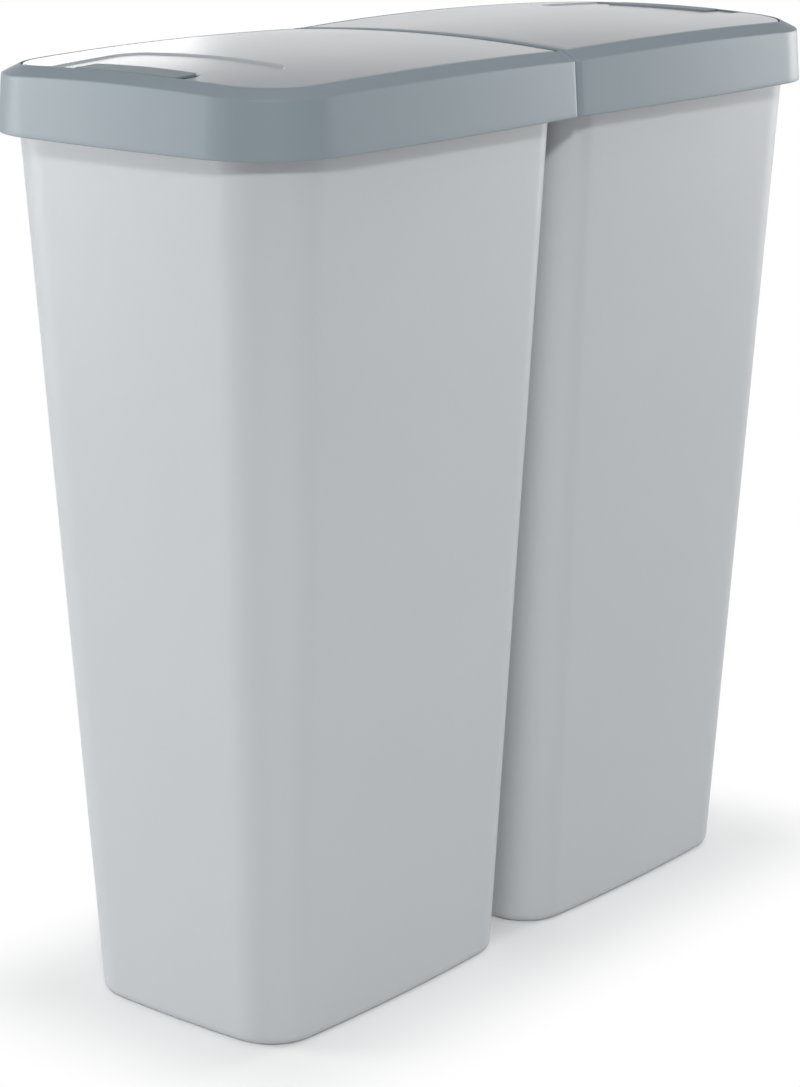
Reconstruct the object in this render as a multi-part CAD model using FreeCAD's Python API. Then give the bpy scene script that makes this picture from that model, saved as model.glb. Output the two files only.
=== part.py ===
"""Double recycling bin: two tapered containers side by side, each under its own lift-off lid.

Every lid is a frame with a crowned flap hinged beside the seam. At the outer end a push button
slides straight down; its sloping legs draw a latch slider back and free the flap's catch.
One bin is modelled with the seam plane at x = 0 and its outer end at +x; the other bin is the
same mouldings turned half a turn about Z.
Millimetres, +Z up, origin on the floor at the middle of the seam.
"""
import FreeCAD, Part
import math
import os

Vector = FreeCAD.Vector

# ---------------------------------------------------------------- lid frame, seen from above
lid_length = 266.0            # seam plane to the middle of the outer end
lid_width = 235.0
lid_side_bow = 4.4            # how far the long side bulges over its length
lid_end_bow = 5.0             # how far the outer end bulges over its width
lid_corner_radius = 51.0      # outer corners
lid_seam_radius = 4.0         # upright corners beside the seam
seam_gap = 0.5                # between the two lids

# ---------------------------------------------------------------- lid frame, heights
skirt_bottom = 511.0
shoulder_height = 542.8       # top of the skirt face at the lid's corners
crest_height = 548.0          # inner edge of the sloping rim at the lid's corners
crown_along_length = 2.5      # extra height at the middle of the length
crown_across_width = 3.7      # extra height at the middle of the width
skirt_draft = 2.2             # the skirt leans in by this much up to the shoulder
rim_slope_width = 11.4        # width of the sloping rim, shoulder to crest
shoulder_radius = 1.4
lid_wall = 2.2
ledge_top = 541.0             # ledge round the opening that the flap closes on
ledge_thickness = 2.0

# ---------------------------------------------------------------- opening, chute and seam bar
opening_inset = 13.2          # from the lid's outline to the wall of the opening
opening_wall = 2.0
opening_seam_x = 4.0          # the opening's wall beside the seam
opening_seam_radius = 3.0
tail_space_end = 22.0         # no ledge and no chute between the seam and here
seam_bar_bottom = 537.0
seam_window_half_width = 98.0
mouth_end_x = 216.0
mouth_half_width = 96.0
mouth_side_bow = 3.6
mouth_end_bow = 3.0
mouth_corner_radius = 18.0
chute_wall = 2.0
chute_bottom = 523.0

# ---------------------------------------------------------------- ribs under the lid
rib_thickness = 1.6
rib_side_places = (45.0, 105.0, 165.0, 210.0)
rib_end_place = 62.0
rib_toe_bottom = 526.0
rib_toe_gap = 0.5             # between a rib's toe and the inside of the container

# ---------------------------------------------------------------- flap
flap_gap = 0.9                # between the flap and the opening on three sides
flap_seam_gap = 2.0           # between the flap and the opening beside the seam
flap_seam_radius = 2.5
flap_drop = 0.5               # the flap lies this far below the crest
flap_skin = 2.2
flap_flange = 1.8
flap_edge_radius = 1.2

# ---------------------------------------------------------------- hinge of the flap
hinge_x = 16.0
hinge_height = 545.1
hinge_rod_radius = 1.5
hinge_clearance = 0.05        # radial, rod in the flap
ear_radius = 3.2
outer_ear_place = 97.0
outer_ear_thickness = 5.0
inner_ear_place = 40.0
inner_ear_thickness = 3.0
frame_boss_radius = 3.0
frame_boss_length = 2.2       # outward from the opening's wall
rod_end_recess = 0.4          # the rod's end lies this far inside the boss

# ---------------------------------------------------------------- torsion spring of the flap
flap_spring_wire = 0.8
flap_spring_clearance = 0.3   # radial, coil on rod
flap_spring_turns = 4
flap_spring_pitch = 1.0
flap_spring_place = 87.0      # first turn
flap_spring_leg = 18.0
upper_leg_rise = 3.3          # degrees
spring_pocket_skin = 1.2      # the flap's thickness over the spring
spring_pocket = (9.5, 37.0, 85.5, 93.6)
spring_tab_end = 38.0
spring_tab_inner = 84.0

# ---------------------------------------------------------------- recess round the button
recess_depth = 1.0
recess_inner_x = 180.0        # middle of the recess's edge across the flap
recess_inner_bow = 6.6
recess_half_width = 56.0      # at the inner corners
recess_end_half_width = 44.5  # at the outer end
recess_corner_radius = 14.0

# ---------------------------------------------------------------- push button
button_half_width = 38.5
button_inner_x = 232.0        # middle of the button's bowed inner edge
button_bow = 9.0
button_end_gap = 1.2          # between the button's ends and the flap
button_inner_gap = 0.8        # between the button's inner edge and the flap
button_outer_gap = 0.4        # between the button and the opening's wall
button_drop = 0.1             # the button lies this far below the crest
button_skin = 2.0
button_lip_depth = 3.2
button_lip = 1.4
button_corner_radius = 2.5
button_edge_radius = 0.6
button_travel = 2.4

# ---------------------------------------------------------------- the button's legs and posts
drive_leg_inner = 10.0
drive_leg_outer = 15.0
drive_leg_thickness = 3.0
drive_leg_x = 238.0           # middle of the leg at the top of the slider
drive_leg_gap = 0.15
drive_leg_bottom = 543.6
post_inner = 29.0
post_outer = 32.0
post_start = 241.0
post_end = 247.0
post_bottom = 536.2
post_gap = 0.15
post_hook = 1.0
post_hook_gap = 0.2           # between the hook and the underside of the shelf
post_hook_height = 1.6

# ---------------------------------------------------------------- latch slider and catch
slider_start = 230.2
slider_end = 242.2
slider_half_width = 20.0
slider_height = 4.4
slider_travel = 1.6
nose_tip = 226.4
nose_height = 3.0
nose_half_width = 6.0
rail_gap = 0.15
rail_wall = 2.0
rail_lip = 1.6
rail_lip_gap = 0.1
rail_lip_height = 1.1
rail_start = 231.0
rail_end = 245.0
catch_start = 222.6
catch_thickness = 2.0
catch_reach = 227.4
catch_half_width = 5.0
catch_gap = 0.3               # between the catch and the slider's nose
catch_bottom = 536.6
catch_slot = (221.6, 229.4)
catch_slot_half_width = 6.6

# ---------------------------------------------------------------- return spring of the button
button_spring_x = 247.7
button_spring_wire = 0.7
button_spring_radius = 2.45   # to the middle of the wire
button_spring_turns = 5
spring_pad_height = 549.9     # flat pad under the button
spring_pad_radius = 3.2
spring_peg_radius = 1.7
spring_peg_length = 2.0
spring_cup_radius = 3.6
spring_cup_gap = 0.15
spring_cup_height = 1.2

# ---------------------------------------------------------------- container
rim_height = 533.0
wall = 2.2
floor_thickness = 2.6
base_fillet = 6.5
floor_fillet = 5.0
base_seam_x = 12.4
base_end_x = 227.8
base_half_width = 79.8
base_corner_radius = 32.0
base_seam_radius = 29.0
top_seam_x = 2.7
top_end_x = 254.8
top_half_width = 108.9
top_corner_radius = 43.0
top_seam_radius = 24.0
body_side_bow = 4.2
body_end_bow = 3.6
bead_width = 2.2
bead_height = 4.0

# ---------------------------------------------------------------- joining clips
clip_place = 60.0
clip_length = 30.0
clip_thickness = 2.0
clip_gap = 0.1                # between the clip's legs and the container walls
clip_leg = 12.0
clip_bridge = 2.4

# ---------------------------------------------------------------- places that follow
half_length = lid_length / 2
half_width = lid_width / 2
lid_seam_x = seam_gap / 2
crest_inset = skirt_draft + rim_slope_width
rim_slope = (crest_height - shoulder_height) / rim_slope_width
rim_thickness = lid_wall * math.hypot(1.0, rim_slope)
ledge_bottom = ledge_top - ledge_thickness
flap_inset = opening_inset + flap_gap
flap_seam_x = opening_seam_x + flap_seam_gap
flap_height = crest_height - flap_drop
button_height = crest_height - button_drop
slider_top = ledge_top + slider_height
drive_slope = slider_travel / button_travel
tall = 40.0                   # reach of cutting shapes above and below the lid
dome_margin = 4.0             # the crowned surface reaches this far past the lid


class Plan:
    """A bin's outline seen from above: straight at the seam, bowed along its three other sides.

    The long sides and the outer end are shallow arcs, joined by a round corner of the given
    radius. An inset outline shares the arcs' centres, so it runs parallel.
    """

    def __init__(self, seam_x, end_x, half_width, side_bow, end_bow, corner_radius):
        half = (end_x - seam_x) / 2
        self.seam_x = seam_x
        self.mid_x = (end_x + seam_x) / 2
        self.side_radius = (half ** 2 + side_bow ** 2) / (2 * side_bow)
        self.side_y = half_width - self.side_radius
        self.end_radius = (half_width ** 2 + end_bow ** 2) / (2 * end_bow)
        self.end_x = end_x - self.end_radius
        # the corner's centre is as far from each arc's centre as the radii differ
        from_side = self.side_radius - corner_radius
        from_end = self.end_radius - corner_radius
        apart_x = self.end_x - self.mid_x
        apart_y = -self.side_y
        apart = math.hypot(apart_x, apart_y)
        along = (from_side ** 2 - from_end ** 2 + apart ** 2) / (2 * apart)
        off = math.sqrt(from_side ** 2 - along ** 2)
        self.corner_x = self.mid_x + (along * apart_x + off * apart_y) / apart
        self.corner_y = self.side_y + (along * apart_y - off * apart_x) / apart

    def side_at(self, x, inset):
        """Half width of the outline at x."""
        return self.side_y + math.sqrt((self.side_radius - inset) ** 2 - (x - self.mid_x) ** 2)

    def end_at(self, y, inset):
        """Reach of the outer end at y."""
        return self.end_x + math.sqrt((self.end_radius - inset) ** 2 - y ** 2)

    def wire(self, inset, height, seam_x=None, seam_radius=0.0):
        """Closed wire of the outline, moved in by inset; height is a level or a function of x, y."""
        if seam_x is None:
            seam_x = self.seam_x + inset
        radius = self.side_radius - inset
        # where the long side meets the corner, and where the corner meets the end
        angle_side = math.atan2(self.corner_y - self.side_y, self.corner_x - self.mid_x)
        side_end = (self.mid_x + radius * math.cos(angle_side), self.side_y + radius * math.sin(angle_side))
        angle_end = math.atan2(self.corner_y, self.corner_x - self.end_x)
        reach = self.end_radius - inset
        end_start = (self.end_x + reach * math.cos(angle_end), reach * math.sin(angle_end))
        if seam_radius > 0:
            centre_x = seam_x + seam_radius
            centre_y = self.side_y + math.sqrt((radius - seam_radius) ** 2 - (centre_x - self.mid_x) ** 2)
            angle_seam = math.atan2(centre_y - self.side_y, centre_x - self.mid_x)
            side_start = (self.mid_x + radius * math.cos(angle_seam),
                          self.side_y + radius * math.sin(angle_seam))
        else:
            centre_y = self.side_at(seam_x, inset)
            side_start = (seam_x, centre_y)

        def place(x, y):
            level = height(x, y) if callable(height) else height
            return Vector(x, y, level)

        def bowed(start, middle, end):
            points = [place(*start), place(*middle), place(*end)]
            if points[0].distanceToLine(points[2], points[1] - points[2]) < 1e-6:
                return Part.LineSegment(points[0], points[2]).toShape()
            return Part.Arc(*points).toShape()

        middle_x = (side_start[0] + side_end[0]) / 2
        middle_y = self.side_at(middle_x, inset)
        seam = bowed((seam_x, centre_y), (seam_x, 0.0), (seam_x, -centre_y))
        near = bowed((side_start[0], -side_start[1]), (middle_x, -middle_y), (side_end[0], -side_end[1]))
        end = bowed((end_start[0], -end_start[1]), (self.end_at(0.0, inset), 0.0), end_start)
        far = bowed(side_end, (middle_x, middle_y), side_start)
        edges = [seam, near, blend(near, end), end, blend(end, far), far]
        if seam_radius > 0:
            edges.insert(1, blend(seam, near))
            edges.append(blend(far, seam))
        return Part.Wire(edges)


def ends(edge):
    """Start point, end point and unit tangents of an edge that runs forwards."""
    first, last = edge.ParameterRange
    return (edge.valueAt(first), edge.valueAt(last),
            edge.tangentAt(first).normalize(), edge.tangentAt(last).normalize())


def blend(before, after):
    """Round corner from the end of one edge to the start of the next, tangent to both."""
    start, leave = ends(before)[1], ends(before)[3]
    stop, arrive = ends(after)[0], ends(after)[2]
    turn = leave.getAngle(arrive)
    reach = 4.0 / 3.0 * math.tan(turn / 4) * start.distanceToPoint(stop) / (2 * math.sin(turn / 2))
    curve = Part.BezierCurve()
    curve.setPoles([start, start + leave * reach, stop - arrive * reach, stop])
    return curve.toShape()


def crown(x, y):
    """Extra height of the lid over its corners, highest in the middle."""
    along = (x - half_length) / half_length
    across = y / half_width
    return crown_along_length * (1 - along ** 2) + crown_across_width * (1 - across ** 2)


def crown_lift(start, end):
    """Three control heights of the parabola 1 - t * t between two values of t."""
    return 1 - start ** 2, 1 - start * end, 1 - end ** 2


def below_dome(level):
    """Everything under the crowned surface whose corners lie at the given level."""
    x_reach = 1 + dome_margin / half_length
    y_reach = 1 + dome_margin / half_width
    x_lift = crown_lift(-x_reach, x_reach)
    y_lift = crown_lift(-y_reach, y_reach)
    patch = Part.BezierSurface()
    patch.increase(2, 2)
    for i in range(3):
        for j in range(3):
            x = half_length + (i - 1) * x_reach * half_length
            y = (j - 1) * y_reach * half_width
            lift = crown_along_length * x_lift[i] + crown_across_width * y_lift[j]
            patch.setPole(i + 1, j + 1, Vector(x, y, level + lift))
    return patch.toShape().extrude(Vector(0, 0, -2 * tall))


def prism(wire, bottom, top):
    """Upright solid over a flat wire, from one level to another."""
    face = Part.Face(wire)
    face.translate(Vector(0, 0, bottom - wire.BoundBox.ZMin))
    return face.extrude(Vector(0, 0, top - bottom))


def box(x0, x1, y0, y1, z0, z1):
    """Block between two corners."""
    return Part.makeBox(x1 - x0, y1 - y0, z1 - z0, Vector(x0, y0, z0))


def rod(radius, x, z, y0, y1):
    """Round bar along Y."""
    return Part.makeCylinder(radius, y1 - y0, Vector(x, y0, z), Vector(0, 1, 0))


def one(shape):
    """The shape's single solid, with its seams cleaned."""
    cleaned = shape.removeSplitter()
    assert len(cleaned.Solids) == 1, "expected one solid, got %d" % len(cleaned.Solids)
    return cleaned.Solids[0]


lid_plan = Plan(lid_seam_x, lid_length, half_width, lid_side_bow, lid_end_bow, lid_corner_radius)
mouth_plan = Plan(opening_seam_x, mouth_end_x, mouth_half_width, mouth_side_bow, mouth_end_bow,
                  mouth_corner_radius)
base_plan = Plan(base_seam_x, base_end_x, base_half_width, body_side_bow, body_end_bow,
                 base_corner_radius)
top_plan = Plan(top_seam_x, top_end_x, top_half_width, body_side_bow, body_end_bow, top_corner_radius)


# ================================================================ container
def container():
    """Tapered tub with rounded base edges and a bead round its rim."""
    outside = Part.makeLoft([base_plan.wire(0.0, 0.0, seam_radius=base_seam_radius),
                             top_plan.wire(0.0, rim_height, seam_radius=top_seam_radius)], True, True)
    lowest = [edge for edge in outside.Edges if edge.BoundBox.ZMax < 0.01]
    outside = outside.makeFillet(base_fillet, lowest)
    inside_base = base_plan.wire(wall, floor_thickness, seam_radius=base_seam_radius - wall)
    inside_top = top_plan.wire(wall, rim_height, seam_radius=top_seam_radius - wall)
    inside = Part.makeLoft([inside_base, inside_top], True, True)
    lowest = [edge for edge in inside.Edges if edge.BoundBox.ZMax < floor_thickness + 0.01]
    inside = inside.makeFillet(floor_fillet, lowest)
    bead_wire = top_plan.wire(-bead_width, rim_height, seam_radius=top_seam_radius + bead_width)
    bead = prism(bead_wire, rim_height - bead_height, rim_height)
    return one(outside.fuse(bead).cut(inside))


# ================================================================ lid frame
def rim_level(inset, drop=0.0):
    """Height of the sloping rim at a distance in from the lid's outline."""
    level = shoulder_height + (inset - skirt_draft) * rim_slope - drop

    def height(x, y):
        return level + crown(x, y)
    return height


def lid_block(inward, below, start, rounding=0.0):
    """Skirt and sloping rim as one block, moved in by inward and down by below, from a start height."""
    past_crest = crest_inset + 4.0
    seam_x = lid_seam_x + inward
    radius = lid_seam_radius
    shoulder = skirt_draft + inward
    lean = skirt_draft / (shoulder_height - skirt_bottom)
    turn = math.pi / 2 - math.atan(lean) - math.atan(rim_slope)
    # the shoulder is rounded by a face on either side of the middle of its arc
    reach = rounding * math.tan(turn / 2)
    cut = rounding * (1 / math.cos(turn / 2) - 1)
    tilt = (math.pi / 2 - math.atan(lean) + math.atan(rim_slope)) / 2
    rim_run = reach * math.cos(math.atan(rim_slope))
    rim_rise = reach * math.sin(math.atan(rim_slope))
    corners = [(-reach * lean, -reach),
               (cut * math.sin(tilt), -cut * math.cos(tilt)),
               (rim_run, rim_rise)]
    if rounding == 0:
        corners = [(0.0, 0.0)]
    corner_level = rim_level(shoulder, below)
    sections = [lid_plan.wire(inward, start, seam_x, radius)]
    for moved_in, raised in corners:
        sections.append(lid_plan.wire(shoulder + moved_in, above(corner_level, raised), seam_x, radius))
    sections.append(lid_plan.wire(past_crest, rim_level(past_crest, below), seam_x, radius))
    sections.append(lid_plan.wire(past_crest, crest_height + tall, seam_x, radius))
    return Part.makeLoft(sections, True, True)


def above(level, raised):
    """The same crowned level, raised."""
    def height(x, y):
        return level(x, y) + raised
    return height


def lid_envelope():
    """Outside of the lid frame with its shoulder rounded."""
    return lid_block(0.0, 0.0, skirt_bottom, shoulder_radius).common(below_dome(crest_height))


def opening_prism(inset, bottom):
    """Upright space of the lid's opening."""
    seam_x = opening_seam_x + inset - opening_inset
    wire = lid_plan.wire(inset, 0.0, seam_x, opening_seam_radius)
    return prism(wire, bottom, crest_height + tall)


def ribs():
    """Ribs that seat on the container's rim, with toes that centre the lid in its mouth."""
    half = rib_thickness / 2
    reach = lid_width
    pieces = []
    for x in rib_side_places:
        toe_end = top_plan.side_at(x, wall) - rib_toe_gap - wall / 2
        for side in (1, -1):
            seat = box(x - half, x + half, 0.0, reach, rim_height, crest_height + tall)
            toe = box(x - half, x + half, 0.0, toe_end, rib_toe_bottom, crest_height)
            piece = seat.fuse(toe)
            pieces.append(piece if side > 0 else piece.mirror(Vector(), Vector(0, 1, 0)))
    for y in (rib_end_place, -rib_end_place):
        toe_end = top_plan.end_at(y, wall) - rib_toe_gap - wall / 2
        seat = box(half_length, half_length + reach, y - half, y + half, rim_height, crest_height + tall)
        toe = box(half_length, toe_end, y - half, y + half, rib_toe_bottom, crest_height)
        pieces.append(seat.fuse(toe))
    return pieces


def latch_rails():
    """Pair of rails on the shelf that guide the latch slider and hold it down."""
    inner = slider_half_width + rail_gap
    lip_bottom = slider_top + rail_lip_gap
    lip_top = lip_bottom + rail_lip_height
    web = box(rail_start, rail_end, inner, inner + rail_wall, ledge_bottom, lip_top)
    lip = box(rail_start, rail_end, inner - rail_lip, inner + rail_wall, lip_bottom, lip_top)
    rail = web.fuse(lip)
    return rail.fuse(rail.mirror(Vector(), Vector(0, 1, 0)))


def post_window(side):
    """Hole in the shelf for one of the button's posts."""
    near = post_inner - post_gap
    far = post_outer + post_gap
    hole = box(post_start - post_gap, post_end + post_gap, near, far, ledge_bottom - 1, ledge_top + 1)
    return hole if side > 0 else hole.mirror(Vector(), Vector(0, 1, 0))


def lid_frame():
    """Skirt, sloping rim, opening wall, ledge, latch shelf and chute in one moulding."""
    hollow = lid_block(lid_wall, rim_thickness, skirt_bottom - 1.0).common(below_dome(crest_height - lid_wall))
    frame = lid_envelope().cut(hollow.cut(opening_prism(opening_inset - opening_wall, ledge_bottom)))

    chute_wire = mouth_plan.wire(-chute_wall, 0.0, seam_radius=opening_seam_radius)
    chute = prism(chute_wire, chute_bottom, ledge_top)
    chute = chute.cut(box(0, tail_space_end, -lid_width, lid_width, 0, ledge_top + 1))
    tab = box(tail_space_end, spring_tab_end, spring_tab_inner, mouth_half_width, ledge_bottom, ledge_top)
    supports = Part.makeCompound(ribs()).common(lid_block(1.0, 1.0, skirt_bottom).common(
        below_dome(crest_height - 1.0)))
    bosses = [rod(frame_boss_radius, hinge_x, hinge_height, start, start + length)
              for start, length in ((opening_y(), opening_wall + frame_boss_length),
                                    (-opening_y() - opening_wall - frame_boss_length,
                                     opening_wall + frame_boss_length))]
    frame = frame.fuse([chute] + list(supports.Solids) + bosses)

    mouth = prism(mouth_plan.wire(0.0, 0.0, seam_radius=opening_seam_radius),
                  rib_toe_bottom - tall, ledge_top + 1)
    below = opening_prism(opening_inset, rib_toe_bottom - tall)
    tail_space = below.common(box(0, tail_space_end, -lid_width, lid_width, 0, ledge_top + 1))
    seam_window = box(0, lid_seam_x + lid_wall + 1.0, -seam_window_half_width, seam_window_half_width,
                      skirt_bottom - 1, seam_bar_bottom)
    frame = frame.cut([mouth, opening_prism(opening_inset, ledge_top), tail_space, seam_window])

    cup = Part.makeCylinder(spring_cup_radius, spring_cup_height + ledge_thickness,
                            Vector(button_spring_x, 0, ledge_bottom))
    frame = frame.fuse([latch_rails(), tab, cup])
    cup_inner = button_spring_radius + button_spring_wire / 2 + spring_cup_gap
    cuts = [Part.makeCylinder(cup_inner, tall, Vector(button_spring_x, 0, ledge_top)),
            box(catch_slot[0], catch_slot[1], -catch_slot_half_width, catch_slot_half_width,
                ledge_bottom - 1, ledge_top + 1),
            post_window(1),
            post_window(-1),
            rod(hinge_rod_radius, hinge_x, hinge_height, -lid_width, lid_width).common(
                box(0, lid_length, -rod_half_length() - rod_end_recess,
                    rod_half_length() + rod_end_recess, 0, crest_height + tall))]
    return one(frame.cut(cuts))


# ================================================================ flap
def opening_y():
    """Half width of the opening at the hinge."""
    return lid_plan.side_at(hinge_x, opening_inset)


def rod_half_length():
    """Half length of the hinge rod: it ends inside the frame's bosses."""
    return opening_y() + opening_wall + frame_boss_length - rod_end_recess


def ear(place, thickness):
    """Hanging ear round the hinge rod, up into the flap's skin."""
    start = place - thickness / 2
    boss = rod(ear_radius, hinge_x, hinge_height, start, start + thickness)
    web = box(hinge_x - ear_radius, hinge_x + ear_radius, start, start + thickness,
              hinge_height, crest_height + tall)
    return boss.fuse(web).common(below_dome(flap_height - flap_skin / 2))


def recess_prism():
    """Upright shape of the shallow recess round the button."""
    corner_x = recess_inner_x + recess_inner_bow
    outer_x = lid_length
    inner = Part.Arc(Vector(corner_x, recess_half_width, 0), Vector(recess_inner_x, 0, 0),
                     Vector(corner_x, -recess_half_width, 0)).toShape()
    near = Part.makeLine(Vector(corner_x, -recess_half_width, 0), Vector(outer_x, -recess_end_half_width, 0))
    outer = Part.makeLine(Vector(outer_x, -recess_end_half_width, 0), Vector(outer_x, recess_end_half_width, 0))
    far = Part.makeLine(Vector(outer_x, recess_end_half_width, 0), Vector(corner_x, recess_half_width, 0))
    block = prism(Part.Wire([inner, near, outer, far]), ledge_top, crest_height + tall)
    corners = [edge for edge in block.Edges
               if edge.BoundBox.ZLength > tall and abs(edge.BoundBox.XMax - corner_x) < 0.1]
    return block.makeFillet(recess_corner_radius, corners)


def button_prism(grow_end, grow_inner, outer_inset, radius):
    """Upright shape of the button's outline, moved out or in."""
    y = button_half_width + grow_end
    start = button_inner_x - grow_inner
    end = lid_plan.end_at(y, outer_inset)
    inner = Part.Arc(Vector(start + button_bow, y, 0), Vector(start, 0, 0),
                     Vector(start + button_bow, -y, 0)).toShape()
    near = Part.makeLine(Vector(start + button_bow, -y, 0), Vector(end, -y, 0))
    outer = Part.Arc(Vector(end, -y, 0), Vector(lid_plan.end_at(0.0, outer_inset), 0, 0),
                     Vector(end, y, 0)).toShape()
    far = Part.makeLine(Vector(end, y, 0), Vector(start + button_bow, y, 0))
    block = prism(Part.Wire([inner, near, outer, far]), ledge_top - tall, crest_height + tall)
    corners = [edge for edge in block.Edges
               if edge.BoundBox.ZLength > tall and abs(edge.BoundBox.XMax - start - button_bow) < 0.1]
    return block.makeFillet(radius, corners)


def top_edges(shape, level):
    """Edges of a shape that lie on the crowned surface at the given level."""
    found = []
    for edge in shape.Edges:
        middle = edge.valueAt(sum(edge.ParameterRange) / 2)
        if abs(middle.z - level - crown(middle.x, middle.y)) < 0.02:
            found.append(edge)
    return found


def catch():
    """Catch that hangs from the flap through the shelf, its barb under the slider's nose."""
    barb_top = ledge_top - catch_gap
    back = catch_start + catch_thickness
    outline = [(catch_start, catch_bottom),
               (back, catch_bottom),
               (catch_reach, barb_top - 0.7),
               (catch_reach, barb_top),
               (back, barb_top),
               (back, crest_height + tall),
               (catch_start, crest_height + tall)]
    return slab(outline, -catch_half_width, catch_half_width).common(
        below_dome(flap_height - recess_depth - flap_skin / 2))


def slab(outline, y0, y1):
    """Outline in X and Z carried along Y."""
    points = [Vector(x, y0, z) for x, z in outline]
    face = Part.Face(Part.makePolygon(points + points[:1]))
    return face.extrude(Vector(0, y1 - y0, 0))


def flap():
    """Crowned panel with a turned-down edge, hinge ears, a recess, a notch and a catch."""
    block = prism(lid_plan.wire(flap_inset, 0.0, flap_seam_x, flap_seam_radius), ledge_top,
                  crest_height + tall)
    block = block.common(below_dome(flap_height))
    block = block.makeFillet(flap_edge_radius, top_edges(block, flap_height))
    under = prism(lid_plan.wire(flap_inset + flap_flange, 0.0, flap_seam_x + flap_flange,
                                flap_seam_radius), ledge_top - 1, crest_height + tall)
    under = under.common(below_dome(flap_height - flap_skin))
    panel = block.cut(under)

    recess = recess_prism()
    floor_level = flap_height - recess_depth
    pan = recess.common(block).common(below_dome(floor_level)).cut(below_dome(floor_level - flap_skin))
    panel = panel.cut(recess.cut(below_dome(floor_level))).fuse(pan)

    ears = [ear(place, thickness) for place, thickness in (
        (outer_ear_place, outer_ear_thickness), (-outer_ear_place, outer_ear_thickness),
        (inner_ear_place, inner_ear_thickness), (-inner_ear_place, inner_ear_thickness))]
    x0, x1, y0, y1 = spring_pocket
    pocket = box(x0, x1, y0, y1, ledge_top - 1, crest_height + tall).common(
        below_dome(flap_height - spring_pocket_skin))
    notch = button_prism(button_end_gap, button_inner_gap, 0.0, button_corner_radius)
    bore = rod(hinge_rod_radius + hinge_clearance, hinge_x, hinge_height, -lid_width, lid_width)
    return one(panel.fuse(ears + [catch()]).cut([pocket, notch, bore]))


# ================================================================ hinge rod and springs
def hinge_rod():
    """Steel rod across the lid that the flap turns on."""
    length = rod_half_length()
    return rod(hinge_rod_radius, hinge_x, hinge_height, -length, length)


def wire_along(points, diameter):
    """Round wire along a smooth path through the points."""
    curve = Part.BSplineCurve()
    curve.interpolate(points)
    path = Part.Wire([curve.toShape()])
    start = curve.value(curve.FirstParameter)
    heading = curve.tangent(curve.FirstParameter)[0]
    ring = Part.Wire([Part.makeCircle(diameter / 2, start, heading)])
    return path.makePipeShell([ring], True, False)


def flap_spring():
    """Torsion spring on the hinge rod: one leg on the frame's tab, the other under the flap."""
    radius = hinge_rod_radius + flap_spring_clearance + flap_spring_wire / 2
    seat = ledge_top + flap_spring_wire / 2
    fall = math.asin((hinge_height - radius - seat) / flap_spring_leg)
    rise = math.radians(upper_leg_rise)
    first = 1.5 * math.pi - fall
    sweep = math.pi - fall - rise + 2 * math.pi * flap_spring_turns
    last = first - sweep
    length = flap_spring_pitch * sweep / (2 * math.pi)
    steps = 16 * flap_spring_turns + 8
    points = []
    for part in (1.0, 0.66, 0.33, 0.12):
        away = part * flap_spring_leg
        points.append(Vector(hinge_x + radius * math.cos(first) + away * math.cos(fall),
                             flap_spring_place,
                             hinge_height + radius * math.sin(first) - away * math.sin(fall)))
    for i in range(steps + 1):
        angle = first - sweep * i / steps
        points.append(Vector(hinge_x + radius * math.cos(angle),
                             flap_spring_place + length * i / steps,
                             hinge_height + radius * math.sin(angle)))
    for part in (0.12, 0.33, 0.66, 1.0):
        away = part * flap_spring_leg
        points.append(Vector(hinge_x + radius * math.cos(last) + away * math.cos(rise),
                             flap_spring_place + length,
                             hinge_height + radius * math.sin(last) + away * math.sin(rise)))
    return wire_along(points, flap_spring_wire)


def button_spring():
    """Compression spring between the shelf and the button's pad."""
    bottom = ledge_top + button_spring_wire / 2
    length = spring_pad_height - ledge_top - button_spring_wire
    steps = 12 * button_spring_turns
    points = []
    for i in range(steps + 1):
        angle = 2 * math.pi * button_spring_turns * i / steps
        # the first and last turns lie nearly flat
        part = i / steps
        ease = part - 0.55 * math.sin(2 * math.pi * part) / (2 * math.pi)
        points.append(Vector(button_spring_x + button_spring_radius * math.cos(angle),
                             button_spring_radius * math.sin(angle),
                             bottom + length * ease))
    return wire_along(points, button_spring_wire)


# ================================================================ push button
def drive_legs(gap, bottom, top):
    """The button's pair of sloping legs, or with a gap the slots they run in."""
    half = drive_leg_thickness / 2 + gap
    low = drive_leg_x + drive_slope * (bottom - slider_top)
    high = drive_leg_x + drive_slope * (top - slider_top)
    outline = [(low - half, bottom), (low + half, bottom), (high + half, top), (high - half, top)]
    far = slab(outline, drive_leg_inner - gap, drive_leg_outer + gap)
    near = slab(outline, -drive_leg_outer - gap, -drive_leg_inner + gap)
    return [far, near]


def post(side):
    """Guide post with a hook under the shelf."""
    shaft = box(post_start, post_end, post_inner, post_outer, post_bottom, crest_height + tall)
    hook_top = ledge_bottom - post_hook_gap
    points = [Vector(post_start, post_outer, hook_top),
              Vector(post_start, post_outer + post_hook, hook_top),
              Vector(post_start, post_outer, hook_top - post_hook_height)]
    hook = Part.Face(Part.makePolygon(points + points[:1])).extrude(Vector(post_end - post_start, 0, 0))
    piece = shaft.fuse(hook)
    return piece if side > 0 else piece.mirror(Vector(), Vector(0, 1, 0))


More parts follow.
